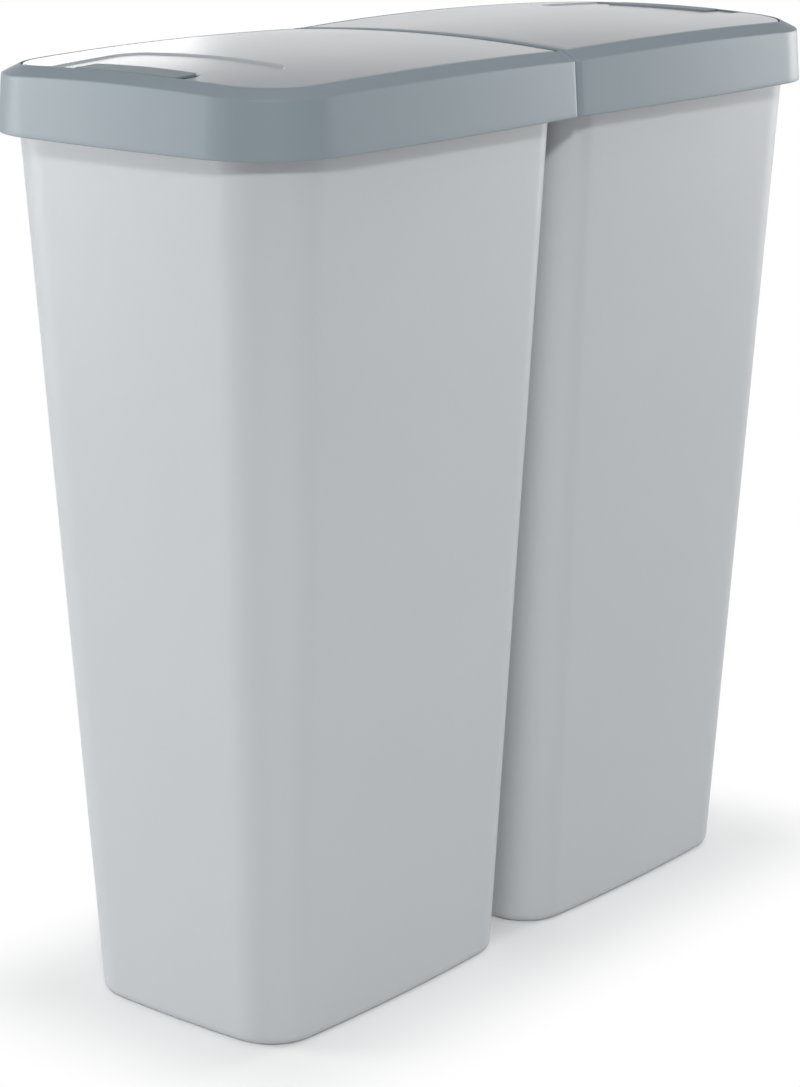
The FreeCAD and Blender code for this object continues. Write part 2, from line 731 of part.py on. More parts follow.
def push_button():
    """Crowned plate with a lip, sliding legs that drive the latch, guide posts and a spring peg."""
    outer_inset = opening_inset + button_outer_gap
    plate = button_prism(0.0, 0.0, outer_inset, button_corner_radius).common(below_dome(button_height))
    plate = plate.cut(below_dome(button_height - button_lip_depth))
    plate = plate.makeFillet(button_edge_radius, top_edges(plate, button_height))
    pocket = button_prism(-button_lip, -button_lip, outer_inset + button_lip,
                          button_corner_radius - button_lip)
    plate = plate.cut(pocket.common(below_dome(button_height - button_skin)))
    inside = below_dome(button_height - button_skin / 2)
    pad = Part.makeCylinder(spring_pad_radius, tall, Vector(button_spring_x, 0, spring_pad_height))
    peg = Part.makeCylinder(spring_peg_radius, tall,
                            Vector(button_spring_x, 0, spring_pad_height - spring_peg_length))
    parts = [post(1), post(-1), pad, peg] + drive_legs(0.0, drive_leg_bottom, crest_height + tall / 4)
    return one(plate.fuse([part.common(inside) for part in parts]))


def latch_slider():
    """Slider with a nose over the flap's catch and sloping slots for the button's legs."""
    body = box(slider_start, slider_end, -slider_half_width, slider_half_width, ledge_top, slider_top)
    nose_outline = [(nose_tip, ledge_top),
                    (slider_start + 1.0, ledge_top),
                    (slider_start + 1.0, ledge_top + nose_height),
                    (nose_tip + 2.2, ledge_top + nose_height),
                    (nose_tip, ledge_top + 0.9)]
    nose = slab(nose_outline, -nose_half_width, nose_half_width)
    upright = [edge for edge in body.Edges if edge.BoundBox.ZLength > slider_height - 0.1]
    body = body.makeFillet(1.0, upright)
    return one(body.fuse(nose).cut(drive_legs(drive_leg_gap, ledge_top - 1, slider_top + 1)))


# ================================================================ joining clips
def joining_clip():
    """Clip over the two rims at the seam, its legs down the inside of both containers."""
    lean = (base_seam_x - top_seam_x) / rim_height
    top_x = top_seam_x + wall + clip_gap
    foot = rim_height - clip_leg
    foot_x = top_x + lean * clip_leg
    outline = [(-foot_x, foot),
               (-top_x, rim_height),
               (top_x, rim_height),
               (foot_x, foot),
               (foot_x + clip_thickness, foot),
               (top_x + clip_thickness, rim_height + clip_bridge),
               (-top_x - clip_thickness, rim_height + clip_bridge),
               (-foot_x - clip_thickness, foot)]
    clip = slab(outline, -clip_length / 2, clip_length / 2)
    corners = [edge for edge in clip.Edges
               if edge.BoundBox.YLength > clip_length - 0.1
               and edge.BoundBox.ZMin > rim_height + clip_bridge - 0.1]
    return one(clip.makeFillet(1.2, corners))


# ================================================================ both bins
bin_pieces = {
    "container": container(),
    "lid_frame": lid_frame(),
    "flap": flap(),
    "hinge_rod": hinge_rod(),
    "flap_spring": flap_spring(),
    "push_button": push_button(),
    "latch_slider": latch_slider(),
    "button_spring": button_spring(),
}

pieces = {}
for name, shape in bin_pieces.items():
    other = shape.copy()
    other.rotate(Vector(), Vector(0, 0, 1), 180)
    pieces["right_" + name] = shape
    pieces["left_" + name] = other

clip = joining_clip()
for name, place in (("front_joining_clip", -clip_place), ("rear_joining_clip", clip_place)):
    moved = clip.copy()
    moved.translate(Vector(0, place, 0))
    pieces[name] = moved

os.makedirs("parts", exist_ok=True)
for name, shape in pieces.items():
    shape.exportStep("parts/%s.step" % name)
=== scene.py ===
"""Double recycling bin: two tapered tubs under hinged flap lids, on a pale studio floor.

The tubs, lid frames, flaps and buttons are worked out with numpy from the outline of one bin:
straight at the seam, bowed along its two long sides and its outer end, with round corners. Their
large surfaces are grids that follow the outline moved in, and their ribs, rails, posts and legs are
plain prisms. The bin at -X is the one at +X turned half a turn about Z. The latch sliders, hinge
rods, springs and joining clips are the frame's own meshes. Lengths of the pieces are millimetres,
turned into metres in add_mesh; the floor, the lights and the camera are in metres.
"""

import math
import bpy
import numpy as np
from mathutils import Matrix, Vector


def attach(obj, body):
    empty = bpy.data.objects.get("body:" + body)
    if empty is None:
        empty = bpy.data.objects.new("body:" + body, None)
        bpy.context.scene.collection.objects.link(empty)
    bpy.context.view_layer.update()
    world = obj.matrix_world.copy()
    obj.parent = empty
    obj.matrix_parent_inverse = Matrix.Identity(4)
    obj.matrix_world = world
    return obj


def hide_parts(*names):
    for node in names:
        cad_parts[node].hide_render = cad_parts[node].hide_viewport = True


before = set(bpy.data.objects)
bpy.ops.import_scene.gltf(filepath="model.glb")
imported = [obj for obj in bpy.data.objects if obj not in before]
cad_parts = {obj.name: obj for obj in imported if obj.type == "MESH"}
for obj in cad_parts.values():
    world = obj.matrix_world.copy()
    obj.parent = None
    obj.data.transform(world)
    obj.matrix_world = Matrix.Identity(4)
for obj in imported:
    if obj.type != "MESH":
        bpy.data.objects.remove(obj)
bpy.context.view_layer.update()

MM = 0.001

# ---------------------------------------------------------------- sizes
# The tub and the mechanism have the built part's sizes, to half a millimetre. The lid's rim,
# crown, seam, recess and button follow the photograph: up to 11 mm in plan and 2.1 mm in height
# from the built part's sizes, and inside its box. The button's lip and skin are thinner than the
# part's, to clear the latch rails. The frame has no bosses or bores for the hinge rod, no holes for
# the button's posts and no cup for its spring, and the flap's flange isn't bored for the rod.
LID = dict(seam=0.25, end=266.0, half=117.5, side_bow=4.1, end_bow=5.4, corner=52.0)
MOUTH = dict(seam=4.0, end=216.0, half=96.0, side_bow=3.6, end_bow=3.0, corner=18.0)
TUB_BASE = dict(seam=12.4, end=227.8, half=79.8, side_bow=4.2, end_bow=3.6, corner=32.0)
TUB_TOP = dict(seam=2.7, end=254.8, half=108.9, side_bow=4.2, end_bow=3.6, corner=43.0)
TUB_BASE_SEAM_RADIUS, TUB_TOP_SEAM_RADIUS = 29.0, 24.0
TUB_HEIGHT, TUB_WALL, TUB_FLOOR = 533.0, 2.2, 2.6
BEAD_WIDTH, BEAD_HEIGHT = 2.2, 4.0
BASE_FILLET, FLOOR_FILLET = 6.5, 5.0

HALF_LENGTH, HALF_WIDTH = 133.0, 117.5
CROWN_LENGTH, CROWN_WIDTH, CROWN_MIDDLE = 2.9, 5.3, 110.0
TUB_MIDDLE = 120.0
SKIRT_BOTTOM, SHOULDER, CREST = 511.3, 541.4, 545.9
SKIRT_DRAFT, RIM_WIDTH, LID_WALL = 2.4, 11.0, 2.2
SHOULDER_RADIUS, SEAM_EDGE_RADIUS, CREST_RADIUS = 1.4, 1.4, 0.5
RIM_SLOPE = (CREST - SHOULDER) / RIM_WIDTH
RIM_DROP = LID_WALL * math.hypot(1.0, RIM_SLOPE)
LID_SEAM_RADIUS, OPENING_SEAM_RADIUS = 4.0, 3.0
OPENING_INSET, OPENING_SEAM, OPENING_WALL = 13.2, 2.6, 2.0
ROW_GAP = 0.05
LEDGE_TOP, LEDGE_BOTTOM, BAR_BOTTOM, CHUTE_BOTTOM = 541.0, 539.0, 537.0, 523.0
SEAM_WINDOW, TAIL_END, CHUTE_WALL = 98.0, 22.0, 2.0

FLAP_INSET, FLAP_SEAM, FLAP_SEAM_RADIUS = 14.1, 4.7, 2.5
FLAP_DROP, FLAP_SKIN, FLAP_FLANGE, FLAP_EDGE = 0.5, 2.2, 1.8, 1.2
RECESS_X, RECESS_BOW, RECESS_Y, RECESS_END_Y = 180.5, 6.2, 61.0, 55.5
RECESS_DEPTH, RECESS_STEP, RECESS_RADIUS = 1.0, 1.3, 14.0
BUTTON_HALF, BUTTON_X, BUTTON_BOW, BUTTON_DROP = 37.0, 233.6, 1.2, 0.1
BUTTON_RADIUS, BUTTON_GAP = 1.6, 0.4
NOTCH_Y, NOTCH_X, NOTCH_RADIUS, NOTCH_EDGE = 39.0, 232.8, 2.5, 0.5
HINGE_X, HINGE_Z = 16.0, 545.1
EAR_PLACES = ((97.0, 5.0), (-97.0, 5.0), (40.0, 3.0), (-40.0, 3.0))
EAR_RADIUS, EAR_BORE = 3.2, 1.55
SLOT_Y, SLOT_START, SLOT_END = 6.6, 221.6, 229.4
CATCH_X, CATCH_TIP_X, CATCH_BOTTOM, CATCH_BARB, CATCH_HALF = 222.6, 227.4, 536.6, 540.0, 5.0
LEG_X, LEG_TOP_Z, LEG_BOTTOM, LEG_HALF = 238.0, 545.0, 543.6, 1.5
LEG_SLOPE = 1.6 / 2.4
LEG_INNER_Y, LEG_OUTER_Y = 10.0, 15.0
POST_START, POST_END, POST_INNER_Y, POST_OUTER_Y, POST_BOTTOM = 241.0, 247.0, 29.0, 32.0, 536.2
RAIL_START, RAIL_END, RAIL_INNER_Y, RAIL_OUTER_Y = 231.0, 245.0, 20.15, 22.15
RAIL_LIP_Y, RAIL_LIP_BOTTOM, RAIL_TOP = 18.55, 545.5, 546.6
RIB_X, END_RIB_Y, RIB_HALF = (45.0, 105.0, 165.0, 210.0), (62.0, -62.0), 0.8
RIB_REACH, RIB_TOE_GAP = 7.0, 1.6
TAB_LENGTH, TAB_INNER_Y, TAB_OUTER_Y = 16.0, 84.0, 97.0
INTO = 1.0  # how far a moulded detail runs into the wall that carries it


# ---------------------------------------------------------------- outline of a bin
def arc(x, y, radius, start, stop, n):
    """Points on an arc, without its last one."""
    a = np.linspace(start, stop, n, endpoint=False)
    return np.stack([x + radius * np.cos(a), y + radius * np.sin(a)], 1)


def line(start, stop, n):
    """Points on a straight line, without its last one."""
    t = np.linspace(0, 1, n, endpoint=False)[:, None]
    return np.array(start) * (1 - t) + np.array(stop) * t


def mirrored(half):
    """A row on the far side joined to its mirror image on the near side."""
    return np.concatenate([half[1:][::-1] * [1, -1], half])


class Outline:
    """Plan outline of a bin: two bowed sides, a bowed end and round corners of the given radius."""

    def __init__(self, seam, end, half, side_bow, end_bow, corner):
        run = (end - seam) / 2
        self.seam, self.mid = seam, (seam + end) / 2
        self.side_radius = (run ** 2 + side_bow ** 2) / (2 * side_bow)
        self.side_y = half - self.side_radius
        self.end_radius = (half ** 2 + end_bow ** 2) / (2 * end_bow)
        self.end_x = end - self.end_radius
        near, far = self.side_radius - corner, self.end_radius - corner
        gap_x, gap_y = self.end_x - self.mid, -self.side_y
        gap = math.hypot(gap_x, gap_y)
        along = (near ** 2 - far ** 2 + gap ** 2) / (2 * gap)
        off = math.sqrt(near ** 2 - along ** 2)
        self.corner = corner
        self.corner_x = self.mid + (along * gap_x + off * gap_y) / gap
        self.corner_y = self.side_y + (along * gap_y - off * gap_x) / gap
        self.turn_side = math.atan2(self.corner_y - self.side_y, self.corner_x - self.mid)
        self.turn_end = math.atan2(self.corner_y, self.corner_x - self.end_x)

    def side_at(self, x, inset):
        return self.side_y + np.sqrt((self.side_radius - inset) ** 2 - (x - self.mid) ** 2)

    def end_at(self, y, inset):
        return self.end_x + np.sqrt((self.end_radius - inset) ** 2 - y ** 2)

    def inset_of(self, x, y):
        """Distance in from the three bowed edges."""
        y = np.abs(y)
        side = self.side_radius - np.hypot(x - self.mid, y - self.side_y)
        end = self.end_radius - np.hypot(x - self.end_x, y)
        corner = self.corner - np.hypot(x - self.corner_x, y - self.corner_y)
        turn = np.arctan2(y - self.corner_y, x - self.corner_x)
        inset = np.minimum(side, end)
        return np.where((turn > self.turn_end) & (turn < self.turn_side), corner, inset)

    def ring(self, inset, seam, seam_radius, counts):
        """Closed row of plan points, moved in by inset, with its straight edge at seam.

        Starts at the middle of the outer end, runs along the far side to the seam, down it, and
        back along the near side. counts is (seam, seam corner, side, corner, end).
        """
        on_seam, on_seam_corner, on_side, on_corner, on_end = counts
        radius, reach = self.side_radius - inset, self.end_radius - inset
        corner = self.corner - inset
        centre_x = seam + seam_radius
        centre_y = self.side_y + math.sqrt((radius - seam_radius) ** 2 - (centre_x - self.mid) ** 2)
        turn_seam = math.atan2(centre_y - self.side_y, centre_x - self.mid)

        seam_corner = arc(centre_x, centre_y, seam_radius, turn_seam, math.pi, on_seam_corner)
        side = arc(self.mid, self.side_y, radius, self.turn_side, turn_seam, on_side)
        bend = arc(self.corner_x, self.corner_y, corner, self.turn_end, self.turn_side, on_corner)
        half_end = arc(self.end_x, 0.0, reach, 0.0, self.turn_end, on_end)
        half_seam = line((seam, centre_y), (seam, 0.0), on_seam)
        far = np.concatenate([half_end, bend, side, seam_corner, half_seam, [[seam, 0.0]]])
        near = far[1:-1][::-1] * [1, -1]
        return np.concatenate([far, near])


def crown(x, y):
    """Extra height of the lid over its corners: a shallow bow both ways."""
    u, v = (x - CROWN_MIDDLE) / HALF_LENGTH, y / HALF_WIDTH
    return CROWN_LENGTH * (1 - u * u) + CROWN_WIDTH * (1 - v * v)


# ---------------------------------------------------------------- meshes
def add_mesh(name, points, faces, material, body, replaced):
    """Object at the origin from points in millimetres and faces, in place of one node of the frame."""
    mesh = bpy.data.meshes.new(name)
    mesh.from_pydata((np.asarray(points) * MM).tolist(), [], faces)
    mesh.validate()
    mesh.polygons.foreach_set("use_smooth", [True] * len(mesh.polygons))
    mesh.materials.append(material)
    obj = bpy.data.objects.new(name, mesh)
    bpy.context.scene.collection.objects.link(obj)
    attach(obj, body)
    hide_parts(replaced)


def row_quads(rows, count, closed_rows=False):
    """Faces between neighbouring closed rows of equal length; closed_rows joins the last to the first."""
    faces = []
    last = rows if closed_rows else rows - 1
    for i in range(last):
        a, b = i * count, ((i + 1) % rows) * count
        for j in range(count):
            k = (j + 1) % count
            faces.append((a + j, a + k, b + k, b + j))
    return faces


def turned(points):
    """The same points half a turn round Z."""
    return np.asarray(points) * [-1, -1, 1]


def both(name, points, faces, material, body, slot, node):
    """One piece on the right bin and its copy on the left bin; the tubs share the body bins."""
    for side, place in (("right_", points), ("left_", turned(points))):
        rides = body if body == "bins" else side + body
        add_mesh(side + name, place, faces, material, rides, side + node)


# ---------------------------------------------------------------- container
RING = (30, 24, 60, 28, 30)


def container():
    """Rows from the middle of the base, up the outside, over the rim and down to the floor.

    A wall row at height z is the base outline and the top outline mixed in proportion to z.
    """
    base, top = Outline(**TUB_BASE), Outline(**TUB_TOP)

    def wall_row(z, inset):
        part = z / TUB_HEIGHT
        low = base.ring(inset, base.seam + inset, TUB_BASE_SEAM_RADIUS - inset, RING)
        high = top.ring(inset, top.seam + inset, TUB_TOP_SEAM_RADIUS - inset, RING)
        return np.column_stack([low * (1 - part) + high * part, np.full(len(low), z)])

    def towards_middle(z, inset, share):
        ring = wall_row(z, inset)
        middle = np.array([TUB_MIDDLE, 0.0, z])
        return middle + (ring - middle) * share

    hub, halfway = 0.02, 0.505
    low, top_z, bead = TUB_HEIGHT - BEAD_HEIGHT, TUB_HEIGHT, BEAD_WIDTH
    rows = [towards_middle(0.0, BASE_FILLET, share) for share in (hub, halfway)]
    for a in np.linspace(0, math.pi / 2, 10):
        rows.append(wall_row(BASE_FILLET * (1 - math.cos(a)), BASE_FILLET * (1 - math.sin(a))))
    for z in np.linspace(12, low - 1.5, 24):
        rows.append(wall_row(z, 0.0))
    for inset, z in ((0.0, low - 0.4), (-0.15, low - 0.1), (-0.5, low), (0.4 - bead, low),
                     (0.1 - bead, low + 0.1), (-bead, low + 0.4), (-bead, top_z - 0.6),
                     (0.2 - bead, top_z - 0.18), (0.6 - bead, top_z), (TUB_WALL - 0.6, top_z),
                     (TUB_WALL - 0.17, top_z - 0.17), (TUB_WALL, top_z - 0.6)):
        rows.append(wall_row(z, inset))
    for z in np.linspace(TUB_HEIGHT - 6, TUB_FLOOR + FLOOR_FILLET + 2, 14):
        rows.append(wall_row(z, TUB_WALL))
    for a in np.linspace(0, math.pi / 2, 8):
        rows.append(wall_row(TUB_FLOOR + FLOOR_FILLET * (1 - math.sin(a)),
                             TUB_WALL + FLOOR_FILLET * (1 - math.cos(a))))
    rows += [towards_middle(TUB_FLOOR, TUB_WALL + FLOOR_FILLET, share) for share in (halfway, hub)]
    count = len(rows[0])
    faces = row_quads(len(rows), count)
    points = np.concatenate(rows)
    faces.append(tuple(range(count))[::-1])
    last = (len(rows) - 1) * count
    faces.append(tuple(range(last, last + count)))
    return points, faces


# ---------------------------------------------------------------- lid frame
LID_RING = (30, 10, 70, 40, 40)
lid = Outline(**LID)


def rim_top(x, y):
    """Height of the frame's top: the sloping rim up to the crest, with the crown added."""
    return crown(x, y) + np.minimum(CREST, SHOULDER + (lid.inset_of(x, y) - SKIRT_DRAFT) * RIM_SLOPE)


def arc_between(corner, start, stop, radius, steps):
    """Round of the given radius on a corner of a section, between two headings in radians.

    Points are corner - reach * heading + radius * turn, for headings from start to stop.
    """
    reach = radius * math.tan(abs(start - stop) / 2)
    first = np.array(corner) - reach * np.array([math.cos(start), math.sin(start)])
    middle = first + radius * np.array([math.sin(start), -math.cos(start)])
    angles = np.linspace(start, stop, steps)
    return [middle + radius * np.array([-math.sin(a), math.cos(a)]) for a in angles]


def lid_shell():
    """Skirt, sloping rim and opening wall as one closed grid of rows.

    Every row is the lid's outline moved in; its height is the crowned top less a drop, and on the
    seam side the row has its own place and drop. share is 0 on the three bowed edges, 1 at the seam.
    Rows that would fall together on the seam's bar are kept a fraction of ROW_GAP apart.
    """
    on_seam, on_seam_corner, on_side, on_corner, on_end = LID_RING
    ramp = np.linspace(0, 1, on_seam_corner)
    bowed = on_end + on_corner + on_side
    half = np.concatenate([np.zeros(bowed), ramp * ramp * (3 - 2 * ramp), np.ones(on_seam + 1)])
    share = np.concatenate([half, half[1:-1][::-1]])
    half = np.arange(len(half)) >= bowed + on_seam_corner
    straight = np.concatenate([half, half[1:-1][::-1]])

    def row(inset, seam, radius, outer, at_seam):
        plan = lid.ring(inset, seam, radius, LID_RING)
        x, y = plan[:, 0], plan[:, 1]
        z = (1 - share) * outer(x, y) + share * at_seam(x, y)
        return np.column_stack([plan, z])

    def foot(x, y):
        return np.where(straight & (np.abs(y) < SEAM_WINDOW), BAR_BOTTOM, SKIRT_BOTTOM)

    lean = math.atan(SKIRT_DRAFT / (SHOULDER - SKIRT_BOTTOM))
    slope = math.atan(RIM_SLOPE)
    shoulder = arc_between((SKIRT_DRAFT, 0.0), math.pi / 2 - lean, slope, SHOULDER_RADIUS, 8)
    crest_top = (OPENING_INSET - SKIRT_DRAFT) * RIM_SLOPE
    crest = arc_between((OPENING_INSET, crest_top), slope, -math.pi / 2, CREST_RADIUS, 7)
    seam_edge = arc_between((lid.seam, 0.0), math.pi / 2, 0.0, SEAM_EDGE_RADIUS, 8)
    bar_edge = arc_between((OPENING_SEAM, 0.0), 0.0, -math.pi / 2, CREST_RADIUS, 7)

    def shoulder_level(lift):
        return lambda x, y: SHOULDER + lift + crown(x, y)

    rows = []
    for inset, lift in ((1.7, 0.0), (0.5, 0.0), (0.15, 0.15)):
        rows.append(row(inset, lid.seam + inset, LID_SEAM_RADIUS, lambda x, y: foot(x, y) + lift,
                        lambda x, y: foot(x, y) + lift))
    for part in np.linspace(0.02, 1, 14):
        rows.append(row(part * shoulder[0][0], lid.seam, LID_SEAM_RADIUS,
                        lambda x, y: foot(x, y) * (1 - part) + shoulder_level(shoulder[0][1])(x, y) * part,
                        lambda x, y: foot(x, y) * (1 - part) + (rim_top(x, y) + seam_edge[0][1]) * part))
    for outer, inner in zip(shoulder[1:], seam_edge[1:]):
        rows.append(row(outer[0], inner[0], LID_SEAM_RADIUS, shoulder_level(outer[1]),
                        lambda x, y: rim_top(x, y) + inner[1]))
    for part in np.linspace(0, 1, 8)[1:-1]:
        inset = shoulder[-1][0] * (1 - part) + crest[0][0] * part
        seam = seam_edge[-1][0] * (1 - part) + bar_edge[0][0] * part
        rows.append(row(inset, seam, LID_SEAM_RADIUS * (1 - part) + OPENING_SEAM_RADIUS * part,
                        shoulder_level((inset - SKIRT_DRAFT) * RIM_SLOPE), rim_top))
    for outer, inner in zip(crest, bar_edge):
        rows.append(row(outer[0], inner[0], OPENING_SEAM_RADIUS, shoulder_level(outer[1]),
                        lambda x, y: rim_top(x, y) + inner[1]))
    for part in (0.35, 0.7, 1.0):
        rows.append(row(OPENING_INSET, OPENING_SEAM, OPENING_SEAM_RADIUS,
                        lambda x, y: shoulder_level(crest[-1][1])(x, y) * (1 - part) + LEDGE_BOTTOM * part,
                        lambda x, y: (rim_top(x, y) + bar_edge[-1][1]) * (1 - part) + BAR_BOTTOM * part))
    wall_back = OPENING_INSET - OPENING_WALL
    inner_seam = lid.seam + LID_WALL
    bar_floor, toe = BAR_BOTTOM + ROW_GAP / 5, ROW_GAP / 10
    folded = inner_seam + ROW_GAP
    rows.append(row(wall_back, OPENING_SEAM - ROW_GAP, OPENING_SEAM_RADIUS, lambda x, y: LEDGE_BOTTOM + 0 * x,
                    lambda x, y: BAR_BOTTOM + 0 * x))
    roof = (wall_back - SKIRT_DRAFT) * RIM_SLOPE - RIM_DROP
    rows.append(row(wall_back, folded, OPENING_SEAM_RADIUS, shoulder_level(roof),
                    lambda x, y: bar_floor + 0 * x))
    for part in (0.5, 1.0):
        inset = wall_back * (1 - part) + (SKIRT_DRAFT + LID_WALL) * part
        rows.append(row(inset, folded * (1 - part) + inner_seam * part, LID_SEAM_RADIUS,
                        shoulder_level((inset - SKIRT_DRAFT) * RIM_SLOPE - RIM_DROP),
                        lambda x, y: bar_floor + 0 * x))
    for part in np.linspace(0, 1, 6)[1:]:
        rows.append(row(SKIRT_DRAFT * (1 - part) + LID_WALL, inner_seam, LID_SEAM_RADIUS,
                        lambda x, y: shoulder_level(-RIM_DROP)(x, y) * (1 - part) + (foot(x, y) + 0.4) * part,
                        lambda x, y: bar_floor * (1 - part) + (foot(x, y) + toe) * part))
    points = np.concatenate(rows)
    return points, row_quads(len(rows), len(rows[0]), closed_rows=True)


def joined(*meshes):
    """Several (points, faces) as one."""
    points, faces, shift = [], [], 0
    for more, corners in meshes:
        points.append(np.asarray(more, float))
        faces += [tuple(i + shift for i in face) for face in corners]
        shift += len(more)
    return np.concatenate(points), faces


def slab(outline, axis, start, stop):
    """Closed prism: a flat outline in the other two axes (in cyclic order), carried along one axis."""
    outline = np.asarray(outline, float)
    count = len(outline)
    after = np.roll(outline, -1, axis=0)
    if np.sum(outline[:, 0] * after[:, 1] - after[:, 0] * outline[:, 1]) < 0:
        outline = outline[::-1]
    places = {"x": (1, 2, 0), "y": (2, 0, 1), "z": (0, 1, 2)}[axis]
    points = np.zeros((2 * count, 3))
    for k, level in enumerate((start, stop)):
        block = slice(k * count, (k + 1) * count)
        points[block, places[0]] = outline[:, 0]
        points[block, places[1]] = outline[:, 1]
        points[block, places[2]] = level
    faces = [(i, (i + 1) % count, count + (i + 1) % count, count + i) for i in range(count)]
    faces.append(tuple(range(count))[::-1])
    faces.append(tuple(range(count, 2 * count)))
    return points, faces


def open_row(outline, inset, counts, z):
    """Row from the near side past the hinge, round the outer end and back on the far side."""
    on_side, on_corner, on_end = counts
    radius, corner, reach = outline.side_radius - inset, outline.corner - inset, outline.end_radius - inset
    start = math.acos((TAIL_END - outline.mid) / radius)
    last = [TAIL_END, outline.side_y + radius * math.sin(start)]
    far = [arc(outline.end_x, 0.0, reach, 0.0, outline.turn_end, on_end),
           arc(outline.corner_x, outline.corner_y, corner, outline.turn_end, outline.turn_side, on_corner),
           arc(outline.mid, outline.side_y, radius, outline.turn_side, start, on_side - 1), [last]]
    plan = mirrored(np.concatenate(far))
    return np.column_stack([plan, np.full(len(plan), z)])


def ledge_and_chute():
    """Ledge, latch shelf and chute: rows from the opening wall in to the mouth and down, closed.

    The row through the slot for the flap's catch leaves its cells out and walls them instead.
    """
    mouth = Outline(**MOUTH)
    counts = (40, 16, 12)
    inset, round_edge = OPENING_INSET - INTO, 0.3

    def between(part, z):
        return open_row(lid, inset, counts, z) * (1 - part) + open_row(mouth, 0.0, counts, z) * part

    outer_x = lid.end_at(0.0, inset)
    width = outer_x - MOUTH["end"]
    parts = [0.0, (outer_x - SLOT_END) / width, (outer_x - SLOT_START) / width, 1.0]
    top = [between(part, LEDGE_TOP) for part in parts]
    down = [open_row(mouth, out, counts, z)
            for out, z in ((0.0, CHUTE_BOTTOM + round_edge), (-round_edge, CHUTE_BOTTOM),
                           (round_edge - CHUTE_WALL, CHUTE_BOTTOM), (-CHUTE_WALL, CHUTE_BOTTOM + round_edge),
                           (-CHUTE_WALL, LEDGE_BOTTOM))]
    bottom = [between(part, LEDGE_BOTTOM) for part in parts[:-1]][::-1]
    rows = top + down + bottom
    count = len(top[0])
    first, last = count // 2 - 1, count // 2 + 1
    for row in rows:
        row[first, 1], row[last, 1] = -SLOT_Y, SLOT_Y
    slot_cells = range(first, last)
    faces = []
    total = len(rows)
    for i in range(total):
        j = (i + 1) % total
        for k in range(count - 1):
            if k in slot_cells and i in (1, total - 3):
                continue
            faces.append((i * count + k, i * count + k + 1, j * count + k + 1, j * count + k))
    outer, inner = count, 2 * count
    under_outer, under_inner = (total - 2) * count, (total - 3) * count
    for k in slot_cells:
        faces.append((outer + k, outer + k + 1, under_outer + k + 1, under_outer + k))
        faces.append((inner + k + 1, inner + k, under_inner + k, under_inner + k + 1))
    faces.append((inner + first, outer + first, under_outer + first, under_inner + first))
    faces.append((outer + last, inner + last, under_inner + last, under_outer + last))
    for cell in ((0, 1, total - 2, total - 1), (1, 2, total - 3, total - 2), (2, 3, total - 4, total - 3),
                 tuple(range(3, total - 3))):
        faces.append(tuple(i * count for i in cell))
        faces.append(tuple(i * count + count - 1 for i in cell)[::-1])
    return np.concatenate(rows), faces


def lid_details():
    """Ribs over the container's rim, latch rails and the tab for the flap's spring."""
    top_tub = Outline(**TUB_TOP)
    parts = []
    root, toe_low = LEDGE_BOTTOM + INTO, TUB_HEIGHT - RIB_REACH

    def rib(inner, toe, skirt):
        return [(inner, root), (inner, toe_low), (toe, toe_low), (toe, TUB_HEIGHT), (skirt, TUB_HEIGHT),
                (skirt, root)]

    for x in RIB_X:
        outline = rib(MOUTH["half"] + CHUTE_WALL - INTO, top_tub.side_at(x, TUB_WALL) - RIB_TOE_GAP,
                      lid.side_at(x, LID_WALL) - INTO)
        for sign in (1, -1):
            parts.append(slab([(y * sign, z) for y, z in outline], "x", x - RIB_HALF, x + RIB_HALF))
    for y in END_RIB_Y:
        outline = rib(MOUTH["end"] + INTO, top_tub.end_at(y, TUB_WALL) - RIB_TOE_GAP,
                      lid.end_at(y, LID_WALL) - INTO - RIB_TOE_GAP)
        parts.append(slab([(z, x) for x, z in outline], "y", y - RIB_HALF, y + RIB_HALF))
    rail = [(RAIL_INNER_Y, root), (RAIL_OUTER_Y, root), (RAIL_OUTER_Y, RAIL_TOP), (RAIL_LIP_Y, RAIL_TOP),
            (RAIL_LIP_Y, RAIL_LIP_BOTTOM), (RAIL_INNER_Y, RAIL_LIP_BOTTOM)]
    for sign in (1, -1):
        parts.append(slab([(y * sign, z) for y, z in rail], "x", RAIL_START, RAIL_END))
    tab_end = TAIL_END + TAB_LENGTH
    tab = [(TAIL_END, TAB_INNER_Y), (tab_end, TAB_INNER_Y), (tab_end, TAB_OUTER_Y), (TAIL_END, TAB_OUTER_Y)]
    parts.append(slab(tab, "z", LEDGE_BOTTOM, LEDGE_TOP))
    return parts


# ---------------------------------------------------------------- flap and button
class Recess:
    """Outline of the shallow recess round the button: a bowed edge, round corners, closing sides."""

    def __init__(self):
        self.radius = (RECESS_Y ** 2 + RECESS_BOW ** 2) / (2 * RECESS_BOW)
        self.x = RECESS_X + self.radius
        start = RECESS_X + RECESS_BOW
        self.fall = (RECESS_Y - RECESS_END_Y) / (LID["end"] - start)
        self.tilt = math.hypot(1, self.fall)
        self.lift = RECESS_Y + start * self.fall
        base = self.lift - RECESS_RADIUS * self.tilt
        a, b = 1 + self.fall ** 2, -2 * (self.x + base * self.fall)
        c = self.x ** 2 + base ** 2 - (self.radius - RECESS_RADIUS) ** 2
        self.corner_x = (-b - math.sqrt(b * b - 4 * a * c)) / (2 * a)
        self.corner_y = base - self.corner_x * self.fall
        self.turn_across = math.atan2(self.corner_y, self.corner_x - self.x)
        self.turn_side = math.atan2(1, self.fall)

    def depth(self, x, y):
        """Distance inside the outline, negative outside it."""
        y = np.abs(y)
        across = self.radius - np.hypot(x - self.x, y)
        side = (self.lift - x * self.fall - y) / self.tilt
        corner = RECESS_RADIUS - np.hypot(x - self.corner_x, y - self.corner_y)
        turn = np.arctan2(y - self.corner_y, x - self.corner_x)
        in_corner = (turn > self.turn_side) & (turn < self.turn_across)
        return np.where(in_corner, corner, np.minimum(across, side))


